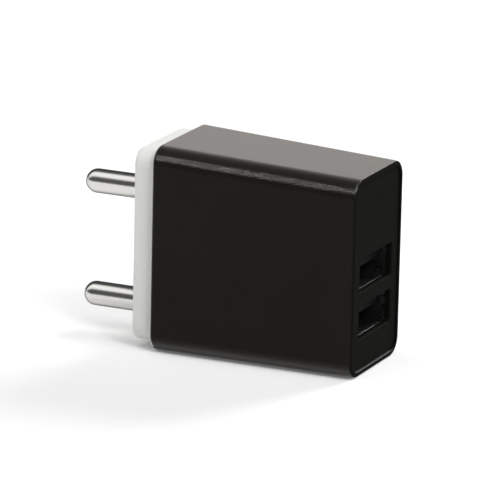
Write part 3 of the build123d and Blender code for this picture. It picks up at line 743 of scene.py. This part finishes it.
class CHARGER_OT_capacitors(bpy.types.Operator):
    """Finish the four round capacitors"""

    bl_idname = "charger.capacitors"
    bl_label = "Capacitors"

    def execute(self, context):
        film = shrunk_sleeve(context.scene.charger_finish)
        aluminium = plain_metal("can_aluminium", (0.75, 0.75, 0.77), 0.3, 0.3 * MM, (4.0, 0.25, 4.0))
        rubber = moulded_rubber()
        foil = wound_foil()
        for name in ("front_output", "rear_output", "lower_bulk", "upper_bulk"):
            finish_nodes(film, f"{name}_capacitor_sleeve")
            finish_nodes(aluminium, f"{name}_capacitor_can")
            finish_nodes(rubber, f"{name}_capacitor_seal")
            finish_nodes(foil, f"{name}_capacitor_element")
            finish_nodes(tinned_lead(), f"{name}_capacitor_leads")
        return {"FINISHED"}


class CHARGER_OT_transformer(bpy.types.Operator):
    """Finish the transformer"""

    bl_idname = "charger.transformer"
    bl_label = "Transformer"

    def execute(self, context):
        finish = context.scene.charger_finish
        finish_nodes(ferrite(), "transformer_upper_core", "transformer_lower_core", "filter_inductor_core")
        phenolic = plain_plastic("bobbin_plastic", (0.018, 0.017, 0.016), 0.45, 0.12 * MM, 0.008 * MM)
        finish_nodes(phenolic, "transformer_bobbin")
        wire = wound_wire(finish, "coil_wire", "Z")
        finish_nodes(wire, "transformer_primary_winding", "transformer_secondary_winding")
        finish_nodes(winding_tape(finish), "transformer_winding_tape", "transformer_core_tape")
        finish_nodes(tinned_lead(), "transformer_pins")
        return {"FINISHED"}


class CHARGER_OT_small_parts(bpy.types.Operator):
    """Finish the inductor's winding, the fuse resistor and the safety capacitor"""

    bl_idname = "charger.small_parts"
    bl_label = "Small parts"

    def execute(self, context):
        finish = context.scene.charger_finish
        finish_nodes(wound_wire(finish, "inductor_wire", "Y"), "filter_inductor_winding")
        finish_nodes(resistor_lacquer(finish), "fuse_resistor_body")
        finish_nodes(dipped_coat(finish), "safety_capacitor_disc")
        for name in ("filter_inductor", "fuse_resistor", "safety_capacitor"):
            finish_nodes(tinned_lead(), f"{name}_leads")
        return {"FINISHED"}


# ---------------------------------------------------------------- stage


def set_world():
    """A studio with a pale band at the horizon, dim walls and a long soft lamp overhead."""
    world = bpy.data.worlds.new("studio")
    bpy.context.scene.world = world
    world.use_nodes = True
    nodes, links = world.node_tree.nodes, world.node_tree.links
    nodes.clear()

    def add(kind, operation, *values):
        made = nodes.new(kind)
        made.operation = operation
        for socket, value in zip(made.inputs, values):
            if isinstance(value, bpy.types.NodeSocket):
                links.new(value, socket)
            else:
                socket.default_value = value
        return made

    def ramp(value, low, high, start, end):
        made = nodes.new("ShaderNodeMapRange")
        made.interpolation_type = "SMOOTHSTEP"
        for key, number in (("From Min", low), ("From Max", high), ("To Min", start), ("To Max", end)):
            made.inputs[key].default_value = number
        links.new(value, made.inputs["Value"])
        return made.outputs["Result"]

    way = nodes.new("ShaderNodeTexCoord").outputs["Generated"]
    height = nodes.new("ShaderNodeSeparateXYZ")
    links.new(way, height.inputs[0])
    band = ramp(height.outputs["Z"], math.sin(HORIZON_ANGLE), math.sin(WALL_ANGLE), 1.0, WALL_LEVEL)
    across = add("ShaderNodeVectorMath", "MULTIPLY", way, (0, 1, 1))
    across = add("ShaderNodeVectorMath", "NORMALIZE", across.outputs["Vector"])
    toward = add("ShaderNodeVectorMath", "DOT_PRODUCT", across.outputs["Vector"], OVERHEAD_WAY)
    overhead = ramp(toward.outputs["Value"], OVERHEAD_EDGE, OVERHEAD_CORE, 0.0, OVERHEAD_LEVEL)
    strength = add("ShaderNodeMath", "ADD", band, overhead).outputs[0]
    background = nodes.new("ShaderNodeBackground")
    links.new(strength, background.inputs["Strength"])
    output = nodes.new("ShaderNodeOutputWorld")
    links.new(background.outputs[0], output.inputs["Surface"])


def floor_paint():
    """Pale floor that the camera sees as white where nothing shades it."""
    s = Shader("floor_paint")
    mottle = s.noise(40 * MM, 2.0)
    s.set(
        Base_Color=s.blend(mottle, (0.84, 0.84, 0.84), (0.855, 0.855, 0.855)),
        Roughness=0.9,
        Specular_IOR_Level=0.0,
    )
    path = s.add("ShaderNodeLightPath")
    seen = s.maths("MAXIMUM", path.outputs["Is Camera Ray"], path.outputs["Is Glossy Ray"])
    seen = s.maths("MAXIMUM", seen, path.outputs["Is Transmission Ray"])
    s.surface.inputs["Emission Color"].default_value = (1, 1, 1, 1)
    s.links.new(s.maths("MULTIPLY", seen, FLOOR_GLOW), s.surface.inputs["Emission Strength"])
    below = s.add("ShaderNodeNewGeometry").outputs["Backfacing"]
    mix = s.add("ShaderNodeMixShader")
    clear = s.add("ShaderNodeBsdfTransparent")
    s.links.new(below, mix.inputs[0])
    s.links.new(s.surface.outputs[0], mix.inputs[1])
    s.links.new(clear.outputs[0], mix.inputs[2])
    s.links.new(mix.outputs[0], s.nodes["Material Output"].inputs["Surface"])
    return s.material


def add_floor(size):
    """A pale floor under the charger."""
    mesh = bpy.data.meshes.new("floor")
    shape = bmesh.new()
    bmesh.ops.create_grid(shape, x_segments=4, y_segments=4, size=size / 2)
    shape.to_mesh(mesh)
    shape.free()
    floor = bpy.data.objects.new("floor", mesh)
    bpy.context.scene.collection.objects.link(floor)
    floor.location.z = CAD_LOW.z
    mesh.materials.append(floor_paint())


def way_to(azimuth, elevation):
    """The way from the charger to an azimuth (0 is the side of -Y) and an elevation."""
    level = math.cos(elevation)
    return Vector((math.sin(azimuth) * level, -math.cos(azimuth) * level, math.sin(elevation)))


def add_lamp(data, way):
    """A lamp that shines on the charger from that way."""
    lamp = bpy.data.objects.new(data.name, data)
    bpy.context.scene.collection.objects.link(lamp)
    lamp.rotation_mode = "QUATERNION"
    lamp.rotation_quaternion = way.to_track_quat("Z", "Y")
    return lamp


def add_sun(name, strength, angle, azimuth, elevation):
    """A distant soft lamp; its apparent size, azimuth and elevation are in degrees."""
    data = bpy.data.lights.new(name, "SUN")
    data.energy = strength
    data.angle = math.radians(angle)
    add_lamp(data, way_to(math.radians(azimuth), math.radians(elevation)))


def add_strip():
    """The near lamp for the housing's front top rounding, which shines on the sleeve only."""
    low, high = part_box("housing")
    edge = Vector(((low.x + high.x) / 2, CAD_LOW.y + ROUNDING_INSET, CAD_HIGH.z))
    data = bpy.data.lights.new("strip", "AREA")
    data.shape = "RECTANGLE"
    data.size = STRIP_ALONG
    data.size_y = STRIP_ACROSS
    data.energy = STRIP_POWER
    data.color = STRIP_TINT
    lamp = add_lamp(data, STRIP_WAY)
    lamp.location = edge + STRIP_WAY * STRIP_DISTANCE
    lit = bpy.data.collections.new("strip lights")
    lit.objects.link(bpy.data.objects["sleeve"])
    lamp.light_linking.receiver_collection = lit


def add_camera(studio):
    """The camera, turned round its aim point."""
    back = way_to(studio.azimuth, studio.elevation)
    right = Vector((0, 0, 1)).cross(back).normalized()
    up = back.cross(right)
    turned_right = right * math.cos(studio.roll) + up * math.sin(studio.roll)
    turned_up = up * math.cos(studio.roll) - right * math.sin(studio.roll)
    data = bpy.data.cameras.new("camera")
    data.lens = studio.lens
    data.sensor_width = 36
    data.clip_start = 0.01
    camera = bpy.data.objects.new("camera", data)
    bpy.context.scene.collection.objects.link(camera)
    turn = Matrix((turned_right, turned_up, back)).transposed().to_4x4()
    camera.matrix_world = Matrix.Translation(Vector(studio.aim) + back * studio.distance) @ turn
    bpy.context.scene.camera = camera


class CHARGER_OT_stage(bpy.types.Operator):
    """Set the floor, lamps, world and camera"""

    bl_idname = "charger.stage"
    bl_label = "Stage"

    def execute(self, context):
        studio = context.scene.charger_studio
        set_world()
        add_floor(studio.floor_size)
        add_sun("back", strength=2.3, angle=28, azimuth=163, elevation=31)
        add_sun("side", strength=1.25, angle=24, azimuth=62, elevation=42)
        add_strip()
        add_camera(studio)
        context.scene.view_settings.view_transform = "Standard"
        return {"FINISHED"}


class CHARGER_PT_sidebar(bpy.types.Panel):
    """Lists the charger's pieces, sizes and colours"""

    bl_idname = "CHARGER_PT_sidebar"
    bl_label = "USB wall charger"
    bl_space_type = "VIEW_3D"
    bl_region_type = "UI"
    bl_category = "Charger"

    def draw(self, context):
        for title, settings in (
            ("Finish", context.scene.charger_finish),
            ("Studio", context.scene.charger_studio),
        ):
            box = self.layout.box()
            box.label(text=title)
            for key in settings.bl_rna.properties.keys():
                if key not in ("rna_type", "name"):
                    box.prop(settings, key)
        column = self.layout.column()
        for piece in PIECES:
            column.operator(piece.bl_idname)


PIECES = (
    CHARGER_OT_housing,
    CHARGER_OT_face_panel,
    CHARGER_OT_plug_base,
    CHARGER_OT_plug_pins,
    CHARGER_OT_sockets,
    CHARGER_OT_circuit_board,
    CHARGER_OT_chips,
    CHARGER_OT_capacitors,
    CHARGER_OT_transformer,
    CHARGER_OT_small_parts,
    CHARGER_OT_stage,
)
CLASSES = (FinishSettings, StudioSettings, *PIECES, CHARGER_PT_sidebar)


def register():
    """Registers the classes and their settings."""
    for cls in CLASSES:
        bpy.utils.register_class(cls)
    bpy.types.Scene.charger_finish = PointerProperty(type=FinishSettings)
    bpy.types.Scene.charger_studio = PointerProperty(type=StudioSettings)


def unregister():
    """Takes the settings and classes away again."""
    del bpy.types.Scene.charger_studio
    del bpy.types.Scene.charger_finish
    for cls in reversed(CLASSES):
        bpy.utils.unregister_class(cls)


def main():
    """Builds the charger and its stage."""
    register()
    bpy.ops.charger.housing()
    bpy.ops.charger.face_panel()
    bpy.ops.charger.plug_base()
    bpy.ops.charger.plug_pins()
    bpy.ops.charger.sockets()
    bpy.ops.charger.circuit_board()
    bpy.ops.charger.chips()
    bpy.ops.charger.capacitors()
    bpy.ops.charger.transformer()
    bpy.ops.charger.small_parts()
    bpy.ops.charger.stage()


if __name__ == "__main__":
    main()
